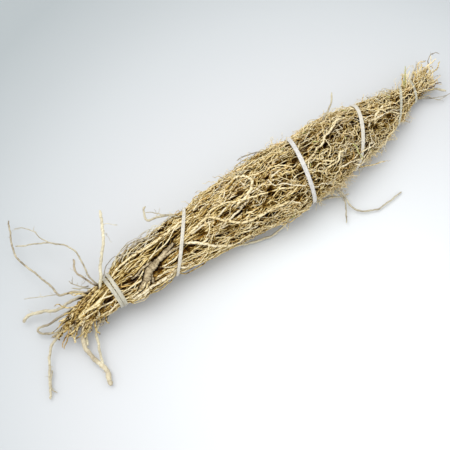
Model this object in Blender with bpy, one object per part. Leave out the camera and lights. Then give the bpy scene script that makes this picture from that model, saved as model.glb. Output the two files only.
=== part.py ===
"""A bundle of dried roots, 36 cm long with its loose ends, lying down and held by six elastic bands.

The roots run along X, from the stout loose ends at -X to the fine frayed tip at +X. Y runs across the
bundle and Z is up. The origin is the flat spot under the fattest part, where the bundle rests.
Numbers are millimetres, and are turned into metres where a mesh is made.
"""

import math
import random

import bmesh
import bpy
import numpy as np
from mathutils import Vector

MM = 0.001

# The bundle's outer envelope: x, centre y, half width and the height of its underside. The table cuts off
# what is below zero, where the belly is pressed flat.
PROFILE = (
    (-165, 0.3, 4.0, 8.6),
    (-149, 0.0, 8.6, 7.1),
    (-136, 0.5, 10.4, 6.2),
    (-120, 1.1, 14.2, 4.2),
    (-104, 2.4, 15.6, 3.1),
    (-67, 3.6, 18.3, 0.8),
    (-38, 3.0, 21.0, -0.8),
    (-4, 0.1, 24.4, -0.8),
    (21, 0.3, 23.3, -0.8),
    (50, 1.9, 21.6, -0.8),
    (75, 3.8, 17.6, -0.2),
    (89, 4.2, 15.0, 0.5),
    (102, 5.5, 11.8, 0.9),
    (111, 7.1, 9.5, 1.3),
    (127, 9.6, 7.0, 2.3),
    (138, 10.6, 6.0, 3.2),
)
HEIGHT_SHARE = 0.86  # the bundle's height over its width

# Each band: x on the bundle's centre line, lean along X for each mm of y and of z, width, turns.
BANDS = {
    "band_1": (-131.0, 0.0, -0.05, 2.5, 2),
    "band_2": (-78.4, 0.8, 0.18, 2.6, 1),
    "band_3": (16.5, 0.25, -0.09, 3.3, 1),
    "band_4": (64.0, 0.6, 0.35, 2.9, 1),
    "band_5": (109.6, 1.0, 0.1, 2.0, 1),
    "band_6": (124.3, 0.45, 0.0, 2.0, 1),
}
BAND_THICKNESS = 0.9
BAND_GAP = 0.35  # between a band and what it holds
TURN_SPACING = 3.3  # between the two turns of a doubled band
BAND_ABOVE_TABLE = 0.3
BAND_STEPS = 36
PINCH_DEPTH = 1.0
PINCH_REACH = 11.0

RIDGES = 24  # roots round the core
CORE_RINGS = 30
CORE_START = -161.0
CORE_END = 134.0
RIDGE_INSET = 2.7  # of a root's top below the envelope
RIDGE_SINK = 1.6  # how much deeper than that it may dip
VALLEY_DEPTH = 2.3  # of the gap between two roots below their tops
FULL_SIZE_WIDTH = 14.0  # half width of the bundle from which the core's relief has its full depth

COVER_ROOTS = 28
FLOOR_CUT = 30.0

# The thick crooked root: x, angle round the bundle in degrees, depth of its middle below the envelope, radius.
STOUT_ROOT = (
    (-74, 103, 3.5, 1.8),
    (-81, 104, 3.2, 2.1),
    (-89, 107, 2.4, 2.5),
    (-96, 110, 1.7, 2.8),
    (-103, 114, 1.2, 3.0),
    (-108, 123, 1.3, 2.9),
    (-111, 134, 1.7, 2.5),
    (-116, 144, 2.3, 2.1),
    (-121, 163, 3.2, 1.7),
)
BED_CLEARANCE = 0.4

# Loose roots that leave the bundle: first and last radius, then points x, y, z along the root.
LOOSE_ROOTS = {
    "long_left": (1.1, 0.6, ((-120, 2, 20), (-141, 5, 20), (-154, 14, 20), (-161, 17, 18), (-162, 25, 17),
                             (-166, 43, 14), (-169, 56, 11), (-168, 67, 9), (-160, 87, 8))),
    "arc_left": (0.9, 0.6, ((-128, 3, 17), (-136, 6, 19), (-140, 13, 26), (-138, 30, 27), (-140, 42, 22),
                            (-149, 54, 17), (-158, 61, 13), (-166, 66.5, 10.5))),
    "upright": (1.2, 1.0, ((-146, 2, 18), (-138.5, 5, 22), (-135, 8, 28), (-130, 15, 32), (-121, 25, 37),
                           (-112, 42, 40))),
    "short_hook": (0.8, 0.8, ((-132, 3, 17), (-138, 7, 20), (-143, 15, 25), (-145, 22, 26), (-142, 29, 28))),
    "thin_west": (0.6, 0.5, ((-140, 5, 18), (-158, 17, 16), (-169, 25, 12), (-180, 32, 9))),
    "blunt_west": (1.3, 1.1, ((-140, 3, 17), (-154, 10, 16), (-167, 13, 10), (-174, 18, 8), (-184, 22, 6),
                              (-188, 20, 5))),
    "bent_back": (1.0, 0.8, ((-142, 2, 15), (-158, 6, 14), (-175, 9, 7), (-183, 11, 5), (-182, 7, 4),
                             (-173, 1, 5))),
    "south_west": (1.4, 1.0, ((-142, 0, 15), (-161, 1, 12), (-176, -2, 8), (-184, -6, 6), (-194, -21, 3),
                              (-200, -32, 2))),
    "south_stout": (2.0, 1.7, ((-138, 0, 13), (-150, -3, 11), (-160, -7, 8), (-165, -16, 5), (-164, -28, 4),
                               (-162, -36, 3.5), (-165, -46, 3))),
    "south_pair": (1.5, 1.3, ((-130, -2, 12), (-147, -8, 10), (-154, -13, 8), (-158, -22, 6), (-162.5, -33, 4))),
    "tail_front": (1.3, 1.0, ((-146, -3, 11), (-156, -8, 9), (-162, -12, 7))),
    "tail_middle": (1.4, 1.0, ((-148, 0, 13), (-161, -3, 10), (-169, -7, 8))),
    "tail_back": (1.3, 1.0, ((-148, 2, 13), (-162, 3, 10), (-171, 4, 8))),
    "band_2_curl": (1.1, 0.8, ((-60, 11, 19), (-69, 15.5, 24.5), (-77, 20.5, 28), (-85, 23, 29),
                               (-89, 25.5, 29.2), (-88, 29.5, 29.7), (-84.5, 31.5, 30))),
    "top_twig": (1.0, 0.9, ((40, 10, 28), (48, 17, 32), (58, 22, 36), (62, 27, 40))),
    "back_twig": (0.9, 0.7, ((14, 14, 31), (0, 21, 32), (-12, 24, 34), (-19, 23, 36))),
    "front_long": (1.3, 0.8, ((28, -12, 14), (33, -24, 9), (34, -36, 4), (38, -42, 2.5), (48, -47, 2),
                              (57, -47, 2), (70, -46, 1.5))),
    "front_loop": (1.1, 0.9, ((30, -16, 12), (32, -30, 7), (27, -39, 3.5), (24, -43, 2.5))),
    "front_low": (1.1, 0.9, ((-62, -8, 8), (-48, -14, 4.5), (-30, -20, 3), (-18, -22, 4), (-2, -19, 8))),
    "side_twig": (0.9, 0.7, ((44, -12, 12), (58, -18, 8), (75, -22, 4))),
    "tip_up": (0.8, 0.7, ((106, 8, 9), (115, 11, 11.5), (120, 16, 14), (124, 21, 17))),
    "tip_long": (1.0, 0.7, ((112, 8, 8.5), (124, 9, 9), (134, 11.5, 12.5), (146, 14, 14), (157, 21, 17))),
    "tip_middle": (1.0, 0.7, ((114, 8, 8), (134, 11, 10), (148, 12, 13), (155, 16, 12))),
    "tip_pale": (1.2, 1.0, ((112, 7, 7), (125, 7, 7), (138, 3, 7), (146, -3, 6))),
    "tip_low": (0.7, 0.6, ((112, 6, 5.5), (121, 5.3, 5.2), (130, 1, 4.5), (140, -4, 4), (148, -6, 4))),
    "tip_back": (0.8, 0.7, ((114, 8, 8), (124, 10.5, 8.5), (133, 15, 9.5), (141, 22, 10))),
}


def hermite(x, knots, column):
    """A smooth curve through one column of PROFILE."""
    i = min(max(sum(k[0] <= x for k in knots) - 1, 0), len(knots) - 2)
    near = [knots[min(max(j, 0), len(knots) - 1)] for j in (i - 1, i, i + 1, i + 2)]
    x1, x2 = near[1][0], near[2][0]
    t = (x - x1) / (x2 - x1)
    v1, v2 = near[1][column], near[2][column]
    slope_1 = (v2 - near[0][column]) / (x2 - near[0][0]) * (x2 - x1)
    slope_2 = (near[3][column] - v1) / (near[3][0] - x1) * (x2 - x1)
    return (
        (2 * t**3 - 3 * t**2 + 1) * v1
        + (t**3 - 2 * t**2 + t) * slope_1
        + (3 * t**2 - 2 * t**3) * v2
        + (t**3 - t**2) * slope_2
    )


def section(x):
    """Centre y, centre z, half width and half height of the envelope at x."""
    centre_y, half_width, underside = (hermite(x, PROFILE, c) for c in (1, 2, 3))
    half_height = HEIGHT_SHARE * half_width
    return centre_y, underside + half_height, half_width, half_height


def band_x(band, y, z):
    """The band's x where it crosses the point y, z measured from the bundle's centre line."""
    centre, lean_y, lean_z = band[:3]
    return centre + lean_y * y + lean_z * z


def pinch(x, y, z):
    """How far the bands pull the envelope in at x."""
    return sum(
        PINCH_DEPTH * math.exp(-(((x - band_x(band, y, z)) / PINCH_REACH) ** 2))
        for band in BANDS.values()
    )


def on_envelope(x, angle, inset=0.0):
    """The point at this angle round the bundle, inset below its envelope. Angle 0 faces +Y, 90 degrees is up."""
    centre_y, centre_z, half_width, half_height = section(x)
    c, s = math.cos(angle), math.sin(angle)
    drawn_in = inset + pinch(x, half_width * c, half_height * s) * min(1.0, half_width / FULL_SIZE_WIDTH)
    return Vector((x, centre_y + (half_width - drawn_in) * c, centre_z + (half_height - drawn_in) * s))


class Wander:
    """A smooth random curve about zero, made of two sine waves."""

    def __init__(self, rng, reach, wavelength):
        self.waves = [
            (reach * share, wavelength * stretch * rng.uniform(0.8, 1.25), rng.uniform(0, math.tau))
            for share, stretch in ((0.65, 1.0), (0.35, 0.5))
        ]

    def __call__(self, x):
        return sum(a * math.sin(math.tau * x / length + phase) for a, length, phase in self.waves)


def mesh_object(name, points, faces):
    mesh = bpy.data.meshes.new(name)
    mesh.from_pydata([Vector(p) * MM for p in points], [], faces)
    mesh.validate()
    made = bpy.data.objects.new(name, mesh)
    bpy.context.scene.collection.objects.link(made)
    return made


def loft(name, rings, closed=False):
    """A closed surface through rings of equal length: joined end to end, or capped."""
    count = len(rings[0])
    points = [p for ring in rings for p in ring]
    faces = []
    for i in range(len(rings) if closed else len(rings) - 1):
        here, there = i * count, (i + 1) % len(rings) * count
        for j in range(count):
            k = (j + 1) % count
            faces.append((here + j, there + j, there + k, here + k))
    if not closed:
        faces.append(tuple(range(count)))
        faces.append(tuple(reversed(range(len(points) - count, len(points)))))
    return mesh_object(name, points, faces)


def smooth_path(points, step):
    """Points at about this spacing along a Catmull-Rom curve through the given ones."""
    points = [Vector(p) for p in points]
    ends = [2 * points[0] - points[1], *points, 2 * points[-1] - points[-2]]
    path = []
    for a, b, c, d in zip(ends, ends[1:], ends[2:], ends[3:]):
        pieces = max(1, round((c - b).length / step))
        for i in range(pieces):
            t = i / pieces
            path.append(
                0.5 * (2 * b + (c - a) * t + (2 * a - 5 * b + 4 * c - d) * t**2
                       + (3 * b - a - 3 * c + d) * t**3)
            )
    path.append(points[-1])
    return path


def tube(name, path, radii, sides):
    """A capped tube along the path, whose rings don't twist."""
    tangents = [(after - before).normalized() for before, after in zip([path[0], *path], [*path[1:], path[-1]])]
    normal = tangents[0].cross(Vector((0.13, 0.27, 0.95))).normalized()
    rings = []
    for i, (centre, tangent, radius) in enumerate(zip(path, tangents, radii)):
        if i:
            normal = tangents[i - 1].rotation_difference(tangent) @ normal
        side = tangent.cross(normal)
        rings.append(
            [
                centre + radius * (math.cos(a) * side + math.sin(a) * normal)
                for a in (math.tau * k / sides for k in range(sides))
            ]
        )
    return loft(name, rings)


def tapered(count, first, last, rng, roughness=0.12):
    """A radius for each of count points, uneven as a root is."""
    return [
        (first + (last - first) * i / (count - 1)) * rng.uniform(1 - roughness, 1 + roughness)
        for i in range(count)
    ]


def ridged_core(rng):
    """The bundle's body: parallel roots raised as ridges, which wander round it and rise and sink."""
    swerve = [Wander(rng, 0.38, 90) for _ in range(RIDGES)]
    rise = [Wander(rng, 1.0, 70) for _ in range(RIDGES)]
    twist = Wander(rng, 0.35, 260)
    rings = []
    for i in range(CORE_RINGS):
        x = CORE_START + (CORE_END - CORE_START) * i / (CORE_RINGS - 1)
        scale = min(1.0, section(x)[2] / FULL_SIZE_WIDTH)
        turns = [k + max(-0.45, min(0.45, swerve[k](x))) for k in range(RIDGES)]
        insets = [RIDGE_INSET + RIDGE_SINK / 2 * (1 + rise[k](x)) for k in range(RIDGES)]
        ring = []
        for k in range(RIDGES):
            after = turns[(k + 1) % RIDGES] + (RIDGES if k == RIDGES - 1 else 0)
            for place, inset in (
                (turns[k], insets[k]),
                ((turns[k] + after) / 2, (insets[k] + insets[(k + 1) % RIDGES]) / 2 + VALLEY_DEPTH),
            ):
                angle = math.tau * place / RIDGES + twist(x)
                ring.append(on_envelope(x, angle, inset * scale))
        rings.append(ring)
    return loft("root_bunch", rings[::-1])


def cover_root(rng, index):
    """One root that lies over the core: straighter at the stout end, curlier towards the fine tip."""
    length = rng.uniform(60, 150)
    start = CORE_START + 8 + (CORE_END - CORE_START - length - 14) * ((index * 0.618) % 1.0)
    fineness = (start + length / 2 - CORE_START) / (CORE_END - CORE_START)
    angle = math.tau * index / COVER_ROOTS + rng.uniform(-0.1, 0.1)
    radius = 1.35 - 0.35 * fineness + rng.uniform(-0.1, 0.2)
    sway = Wander(rng, 3 + 7 * fineness, 60 - 22 * fineness)
    drift = rng.uniform(-0.5, 0.5)
    count = max(7, round(length / 9))
    path = []
    for i in range(count):
        share = i / (count - 1)
        x = start + length * share
        half_width = section(x)[2]
        scale = min(1.0, half_width / FULL_SIZE_WIDTH)
        tucked_in = 3.4 * scale if i in (0, count - 1) else 0.0
        path.append(on_envelope(x, angle + drift * share + sway(x) / half_width, radius * scale + tucked_in))
    ends = min(1.0, section(start)[2] / 9), min(1.0, section(start + length)[2] / 9)
    radii = tapered(count, radius * ends[0], radius * 0.85 * ends[1], rng, 0.08)
    return tube(f"cover_{index}", path, radii, 4)


def loose_root(name, first, last, points, rng):
    path = smooth_path(points, 7.5)
    return tube(name, path, tapered(len(path), first, last, rng, 0.08), 5 if first > 1.45 else 4)


def stout_root(name, margin):
    """The thick crooked root, or the bed that it lies in when it has a margin."""
    path, radii = [], []
    for x, degrees, inset, radius in STOUT_ROOT:
        path.append(on_envelope(x, math.radians(degrees), inset))
        radii.append(radius + margin)
    for end, inner in ((0, 1), (-1, -2)):
        path[end] += margin * (path[end] - path[inner]).normalized()
    return tube(name, path, radii, 7)


def resting_root(rng):
    """The root under the belly, whose flattened underside holds the origin."""
    path = [Vector((x, 1.2 * math.sin(x / 17), 1.15)) for x in range(-40, 41, 10)]
    return tube("resting", path, tapered(len(path), 1.8, 1.8, rng, 0.03), 6)


def keep_outer_shell(made):
    """Drops the loose scraps, and the walls of hollows that fusing sealed."""
    bm = bmesh.new()
    bm.from_mesh(made.data)
    bmesh.ops.triangulate(bm, faces=bm.faces)
    left, shells = set(bm.faces), []
    while left:
        shell, front = set(), [left.pop()]
        while front:
            face = front.pop()
            shell.add(face)
            for edge in face.edges:
                for other in edge.link_faces:
                    if other in left:
                        left.discard(other)
                        front.append(other)
        shells.append(shell)
    largest = max(shells, key=len)
    bmesh.ops.delete(bm, geom=[f for f in bm.faces if f not in largest], context="FACES")
    bm.to_mesh(made.data)
    bm.free()


def combine(body, others, operation):
    """Joins the others to the body, or cuts them out of it, and removes them."""
    group = bpy.data.collections.new("tools")
    bpy.context.scene.collection.children.link(group)
    for other in others:
        bpy.context.scene.collection.objects.unlink(other)
        group.objects.link(other)
    step = body.modifiers.new("Combine", "BOOLEAN")
    step.operation = operation
    step.operand_type = "COLLECTION"
    step.collection = group
    step.solver = "MANIFOLD"
    graph = bpy.context.evaluated_depsgraph_get()
    combined = bpy.data.meshes.new_from_object(body.evaluated_get(graph))
    body.modifiers.clear()
    body.data = combined
    for other in others:
        bpy.data.objects.remove(other)
    bpy.data.collections.remove(group)


def space_below_table():
    return mesh_object(
        "below_table",
        [(x, y, z) for x in (-400, 400) for y in (-200, 200) for z in (-FLOOR_CUT, 0)],
        [(0, 1, 3, 2), (4, 6, 7, 5), (0, 4, 5, 1), (2, 3, 7, 6), (0, 2, 6, 4), (1, 5, 7, 3)],
    )


def elastic_band(name, band, margin=0.0):
    """A flat band pulled tight round the bundle, or its bed when it has a margin. Two turns cross underneath."""
    width, turns = band[3:]
    steps = BAND_STEPS * turns
    path, outward = [], []
    for i in range(steps):
        angle = math.tau * turns * i / steps + math.pi / 2
        c, s = math.cos(angle), math.sin(angle)
        x = band[0]
        for _ in range(4):
            half_width, half_height = section(x)[2:]
            x = band_x(band, half_width * c, half_height * s)
        lift = BAND_GAP + BAND_THICKNESS / 2
        if turns == 2:
            phase = math.cos(math.tau * i / steps)
            x += TURN_SPACING / 2 * max(-1.0, min(1.0, 2.5 * phase))
            crossing = 1 - abs(i - 3 * steps / 4) / (steps / 12)
            lift += (BAND_THICKNESS + BAND_GAP) * max(0.0, min(1.0, 2 * crossing))
        point = on_envelope(x, angle, -lift)
        point.z = max(point.z, BAND_ABOVE_TABLE + BAND_THICKNESS / 2)
        path.append(point)
        outward.append(Vector((0, c, s)))
    rings = []
    for i, (centre, normal) in enumerate(zip(path, outward)):
        tangent = (path[(i + 1) % steps] - path[i - 1]).normalized()
        across = tangent.cross(normal).normalized()
        up = across.cross(tangent).normalized() * (BAND_THICKNESS / 2 + margin)
        across *= width / 2 + margin
        rings.append([centre + across + up, centre - across + up, centre - across - up, centre + across - up])
    return loft(name, rings, closed=True)


def material(name, colour, roughness):
    made = bpy.data.materials.new(name)
    made.use_nodes = True
    shader = made.node_tree.nodes["Principled BSDF"]
    shader.inputs["Base Color"].default_value = (*colour, 1.0)
    shader.inputs["Roughness"].default_value = roughness
    shader.inputs["Metallic"].default_value = 0.0
    return made


def main():
    for old in list(bpy.data.objects):
        bpy.data.objects.remove(old)
    rng = random.Random(11)
    root = material("dried_root", (0.50, 0.36, 0.18), 0.8)
    elastic = material("elastic", (0.80, 0.79, 0.74), 0.4)
    bunch = ridged_core(rng)
    parts = [cover_root(rng, i) for i in range(COVER_ROOTS)]
    parts += [loose_root(name, *route, rng) for name, route in LOOSE_ROOTS.items()]
    parts.append(resting_root(rng))
    combine(bunch, parts, "UNION")
    beds = [elastic_band(name + "_bed", band, BAND_GAP) for name, band in BANDS.items()]
    beds += [
        elastic_band(name + "_between_turns", (*band[:3], TURN_SPACING - band[3], 1), BAND_GAP)
        for name, band in BANDS.items()
        if band[4] == 2
    ]
    combine(bunch, [stout_root("bed", BED_CLEARANCE), space_below_table(), *beds], "DIFFERENCE")
    keep_outer_shell(bunch)
    stout_root("stout_root", 0.0).data.materials.append(root)
    bunch.data.materials.clear()
    bunch.data.materials.append(root)
    for name, band in BANDS.items():
        elastic_band(name, band).data.materials.append(elastic)


main()
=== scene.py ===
"""The looks of a tied bundle of dried roots that lies on a pale table.

Runs in Blender 4.5 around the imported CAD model. The CAD solids give the outline, the loose roots and the
bands. Here several thousand fine roots and softer bands take their place, on the same envelope and routes.
Sizes are millimetres until a mesh is made. The table and the lamp are placed in metres.
"""

import math

import bpy
import numpy as np
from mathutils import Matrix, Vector


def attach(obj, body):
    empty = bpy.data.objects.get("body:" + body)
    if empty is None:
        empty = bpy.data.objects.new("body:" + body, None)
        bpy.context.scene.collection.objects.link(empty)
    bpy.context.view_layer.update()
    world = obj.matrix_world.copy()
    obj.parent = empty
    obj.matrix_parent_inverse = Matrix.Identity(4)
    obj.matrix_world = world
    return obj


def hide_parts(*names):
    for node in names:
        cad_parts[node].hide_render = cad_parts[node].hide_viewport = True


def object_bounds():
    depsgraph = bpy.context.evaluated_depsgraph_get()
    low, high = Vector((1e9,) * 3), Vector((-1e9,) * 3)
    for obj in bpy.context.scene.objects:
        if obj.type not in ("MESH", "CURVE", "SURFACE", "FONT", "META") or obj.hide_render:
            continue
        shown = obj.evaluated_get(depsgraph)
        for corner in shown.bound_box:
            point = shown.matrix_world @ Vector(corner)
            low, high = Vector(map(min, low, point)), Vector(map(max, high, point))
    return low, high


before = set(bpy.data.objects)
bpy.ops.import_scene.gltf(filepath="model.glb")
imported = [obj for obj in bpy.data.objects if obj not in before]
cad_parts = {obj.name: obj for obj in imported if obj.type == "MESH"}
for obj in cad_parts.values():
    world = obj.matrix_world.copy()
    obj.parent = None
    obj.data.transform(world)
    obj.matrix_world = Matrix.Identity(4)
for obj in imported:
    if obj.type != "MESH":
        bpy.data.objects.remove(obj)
cad_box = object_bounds()

MM = 0.001

# The bundle's envelope, as in the CAD: x, centre y, half width and height of its underside.
PROFILE = np.array((
    (-165, 0.3, 4.0, 8.6), (-149, 0.0, 8.6, 7.1), (-136, 0.5, 10.4, 6.2), (-120, 1.1, 14.2, 4.2),
    (-104, 2.4, 15.6, 3.1), (-67, 3.6, 18.3, 0.8), (-38, 3.0, 21.0, -0.8), (-4, 0.1, 24.4, -0.8),
    (21, 0.3, 23.3, -0.8), (50, 1.9, 21.6, -0.8), (75, 3.8, 17.6, -0.2), (89, 4.2, 15.0, 0.5),
    (102, 5.5, 11.8, 0.9), (111, 7.1, 9.5, 1.3), (127, 9.6, 7.0, 2.3), (138, 10.6, 6.0, 3.2),
))
HEIGHT_SHARE = 0.86  # its height over its width

# The bands, as in the CAD: x on the centre line, lean along X for each mm of y and of z, width, turns.
BANDS = {
    "band_1": (-131.0, 0.0, -0.05, 2.5, 2),
    "band_2": (-78.4, 0.8, 0.18, 2.6, 1),
    "band_3": (16.5, 0.25, -0.09, 3.3, 1),
    "band_4": (64.0, 0.6, 0.35, 2.9, 1),
    "band_5": (109.6, 1.0, 0.1, 2.0, 1),
    "band_6": (124.3, 0.45, 0.0, 2.0, 1),
}
BAND_THICKNESS = 0.9
BAND_GAP = 0.35  # between a band and the envelope
BAND_MARGIN = 0.5  # how far beyond a band's edges the roots stay low
BAND_EASE = 3.0  # the length over which they then rise again
BAND_SPACE = -1.2, 1.8  # the heights above the envelope that are kept free for a band
BAND_FLOOR = 0.3  # between a band and the table
TURN_SPACING = 3.3
TURNS_MEET = math.pi  # the side of the bundle where the two turns lie edge to edge
TURNS_CLOSER = 0.24  # the share of their spacing that they lose there
PINCH_DEPTH = 1.0  # how deep a band presses the roots in
PINCH_REACH = 11.0
FULL_SIZE_WIDTH = 14.0  # the half width below which the bundle counts as thin

START_X, END_X = -164.0, 137.0  # between which the roots on the bundle lie
TOP = 42.0  # no root reaches higher
TOP_ROOM = 2.2  # a root that rises closer than this to the top is bent down
TABLE_GAP = 0.03  # between the lowest roots and the table
LUMPY_RADIUS = 1.14  # a root with its lumps, over its radius
CORE_DEPTH = 6.0
CLEARANCE = 0.1  # between things that press on each other
ASKEW = (0.13, 0.27, 0.95)  # a direction that no root takes, to turn its rings from

# The roots that creep along the bundle: each value at the stout end, then at the tip.
FINE_START, FINE_LENGTH = -72, 90  # where along X the change begins, and over what length
LENGTHS = 82, 46
GIRTHS = 0.95, 0.7
WAVE_SIZES, WAVE_LENGTHS = (0.16, 0.35), (28, 15)
CORNER_SIZES, CORNER_LENGTHS = (0.16, 0.62), (24, 12)
SLANTS = 0.2, 0.58
KINKS = 0.25, 0.9
DIP_SIZES, DIP_LENGTHS = (0.75, 0.9), (22, 12)
END_TAPER = 7  # the length at each end over which they thin and sink in

# Looks at each x along the bundle: how strong the painted shade of its depths is, and what is added to a
# root's lightness.
DEPTH_SHADE_ALONG = ((-70, 1.0), (0, 0.85), (50, 0.48), (110, 0.6))
TONE = ((-150, -0.07), (-110, -0.01), (-60, 0.04), (20, 0.24), (50, 0.29), (85, 0.27), (115, 0.09))
STAINS = ((-0.28, 0.26), (0.0, 0.52), (0.12, 0.22))  # changes in lightness, each with its share of roots
SHADE_DEPTH = 1.2  # the depth over which most of the light is lost
FREE_DARKEST = 0.52  # how dark a root that stands off the bundle may be

# Loose roots that leave the bundle along the CAD's routes: first and last radius, looks, points along it.
# The looks are how light it is, and a number that is low for a warm root and high for a grey one. Those of a
# tan root, marked None, are drawn at random.
LOOSE_ROOTS = {
    "long_left": (0.8, 0.55, (0.62, 0.15), ((-120, 2, 20), (-141, 5, 20), (-154, 14, 20), (-161, 17, 18),
        (-162, 25, 17), (-166, 43, 14), (-169, 56, 11), (-168, 67, 9), (-160, 87, 8))),
    "arc_left": (0.65, 0.42, (0.66, 0.3), ((-128, 3, 17), (-136, 6, 19), (-140, 13, 26), (-138, 30, 27),
        (-140, 42, 22), (-149, 54, 17), (-158, 61, 13), (-166, 66.5, 10.5))),
    "upright": (1.05, 0.9, (0.88, 0.3), ((-146, 2, 18), (-138.5, 5, 22), (-135, 8, 28), (-130, 15, 32),
        (-121, 25, 37), (-112, 42, 40))),
    "short_hook": (0.55, 0.7, (0.63, 0.05), ((-132, 3, 17), (-138, 7, 20), (-143, 15, 25), (-145, 22, 26),
        (-142, 29, 28))),
    "thin_west": (0.35, 0.25, (0.76, 0.9), ((-140, 5, 18), (-158, 17, 16), (-169, 25, 12), (-180, 32, 9))),
    "blunt_west": (0.95, 1.05, (0.74, 0.4), ((-140, 3, 17), (-154, 10, 16), (-167, 13, 10), (-174, 18, 8),
        (-184, 22, 6), (-188, 20, 5))),
    "bent_back": (0.8, 0.75, (0.58, 0.3), ((-142, 2, 15), (-158, 6, 14), (-175, 9, 7), (-183, 11, 5),
        (-182, 7, 4), (-173, 1, 5))),
    "south_west": (1.05, 0.7, (0.78, 0.5), ((-142, 0, 15), (-161, 1, 12), (-176, -2, 8), (-184, -6, 6),
        (-194, -21, 3), (-200, -32, 2))),
    "south_stout": (1.15, 1.7, (0.78, 0.12), ((-138, 0, 13), (-150, -3, 11), (-160, -7, 8), (-165, -16, 5),
        (-164, -28, 4), (-162, -36, 3.5), (-165, -46, 3))),
    "south_pair": (0.95, 0.85, (0.8, 0.25), ((-130, -2, 12), (-147, -8, 10), (-154, -13, 8), (-158, -22, 6),
        (-162.5, -33, 4))),
    "tail_front": (1.0, 0.8, None, ((-146, -3, 11), (-156, -8, 9), (-162, -12, 7))),
    "tail_middle": (1.1, 0.8, None, ((-148, 0, 13), (-161, -3, 10), (-169, -7, 8))),
    "tail_back": (1.0, 0.8, None, ((-148, 2, 13), (-162, 3, 10), (-171, 4, 8))),
    "band_2_curl": (0.8, 0.66, (0.74, 0.4), ((-60, 11, 19), (-69, 15.5, 24.5), (-77, 20.5, 28),
        (-84, 22.5, 29), (-88.3, 23.2, 29.2), (-89.6, 25.6, 29.4), (-88.2, 28.6, 29.7), (-87.4, 31.4, 30),
        (-84.8, 32.6, 30))),
    "top_twig": (0.75, 0.55, (0.72, 0.6), ((40, 10, 28), (48, 17, 32), (58, 22, 36), (62, 27, 40))),
    "back_twig": (0.5, 0.35, (0.58, 0.9), ((14, 14, 31), (0, 21, 32), (-12, 24, 34), (-19, 23, 36))),
    "front_long": (0.72, 0.5, (0.74, 0.8), ((28, -12, 14), (33, -24, 9), (34, -36, 4), (38, -42, 2.5),
        (48, -47, 2), (57, -47, 2), (70, -46, 1.5))),
    "front_loop": (0.6, 0.42, (0.66, 0.7), ((30, -16, 12), (32, -30, 7), (27, -39, 3.5), (24, -43, 2.5))),
    "front_low": (0.8, 0.7, (0.84, 0.3), ((-62, -8, 8), (-48, -14, 4.5), (-30, -20, 3), (-18, -22, 4),
        (-2, -19, 8))),
    "side_twig": (0.5, 0.35, None, ((44, -12, 12), (58, -18, 8), (75, -22, 4))),
    "tip_up": (0.55, 0.35, None, ((106, 8, 9), (115, 11, 11.5), (120, 16, 14), (124, 21, 17))),
    "tip_long": (0.5, 0.26, (0.55, 0.8), ((112, 8, 8.5), (124, 9, 9), (134, 11.5, 12.5), (143.5, 15.5, 14),
        (147, 20, 15), (151.5, 22.6, 16), (155, 21.5, 16.4), (156.6, 19.4, 16))),
    "tip_middle": (0.6, 0.35, None, ((114, 8, 8), (134, 11, 10), (148, 12, 13), (155, 16, 12))),
    "tip_pale": (0.9, 0.8, (0.72, 0.4), ((112, 7, 7), (125, 7, 7), (138, 3, 7), (146, -3, 6))),
    "tip_low": (0.35, 0.25, (0.6, 0.9), ((112, 6, 5.5), (121, 5.3, 5.2), (130, 1, 4.5), (140, -4, 4),
        (148, -6, 4))),
    "tip_back": (0.45, 0.3, (0.62, 0.8), ((114, 8, 8), (124, 10.5, 8.5), (133, 15, 9.5), (141, 22, 10))),
}

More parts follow.
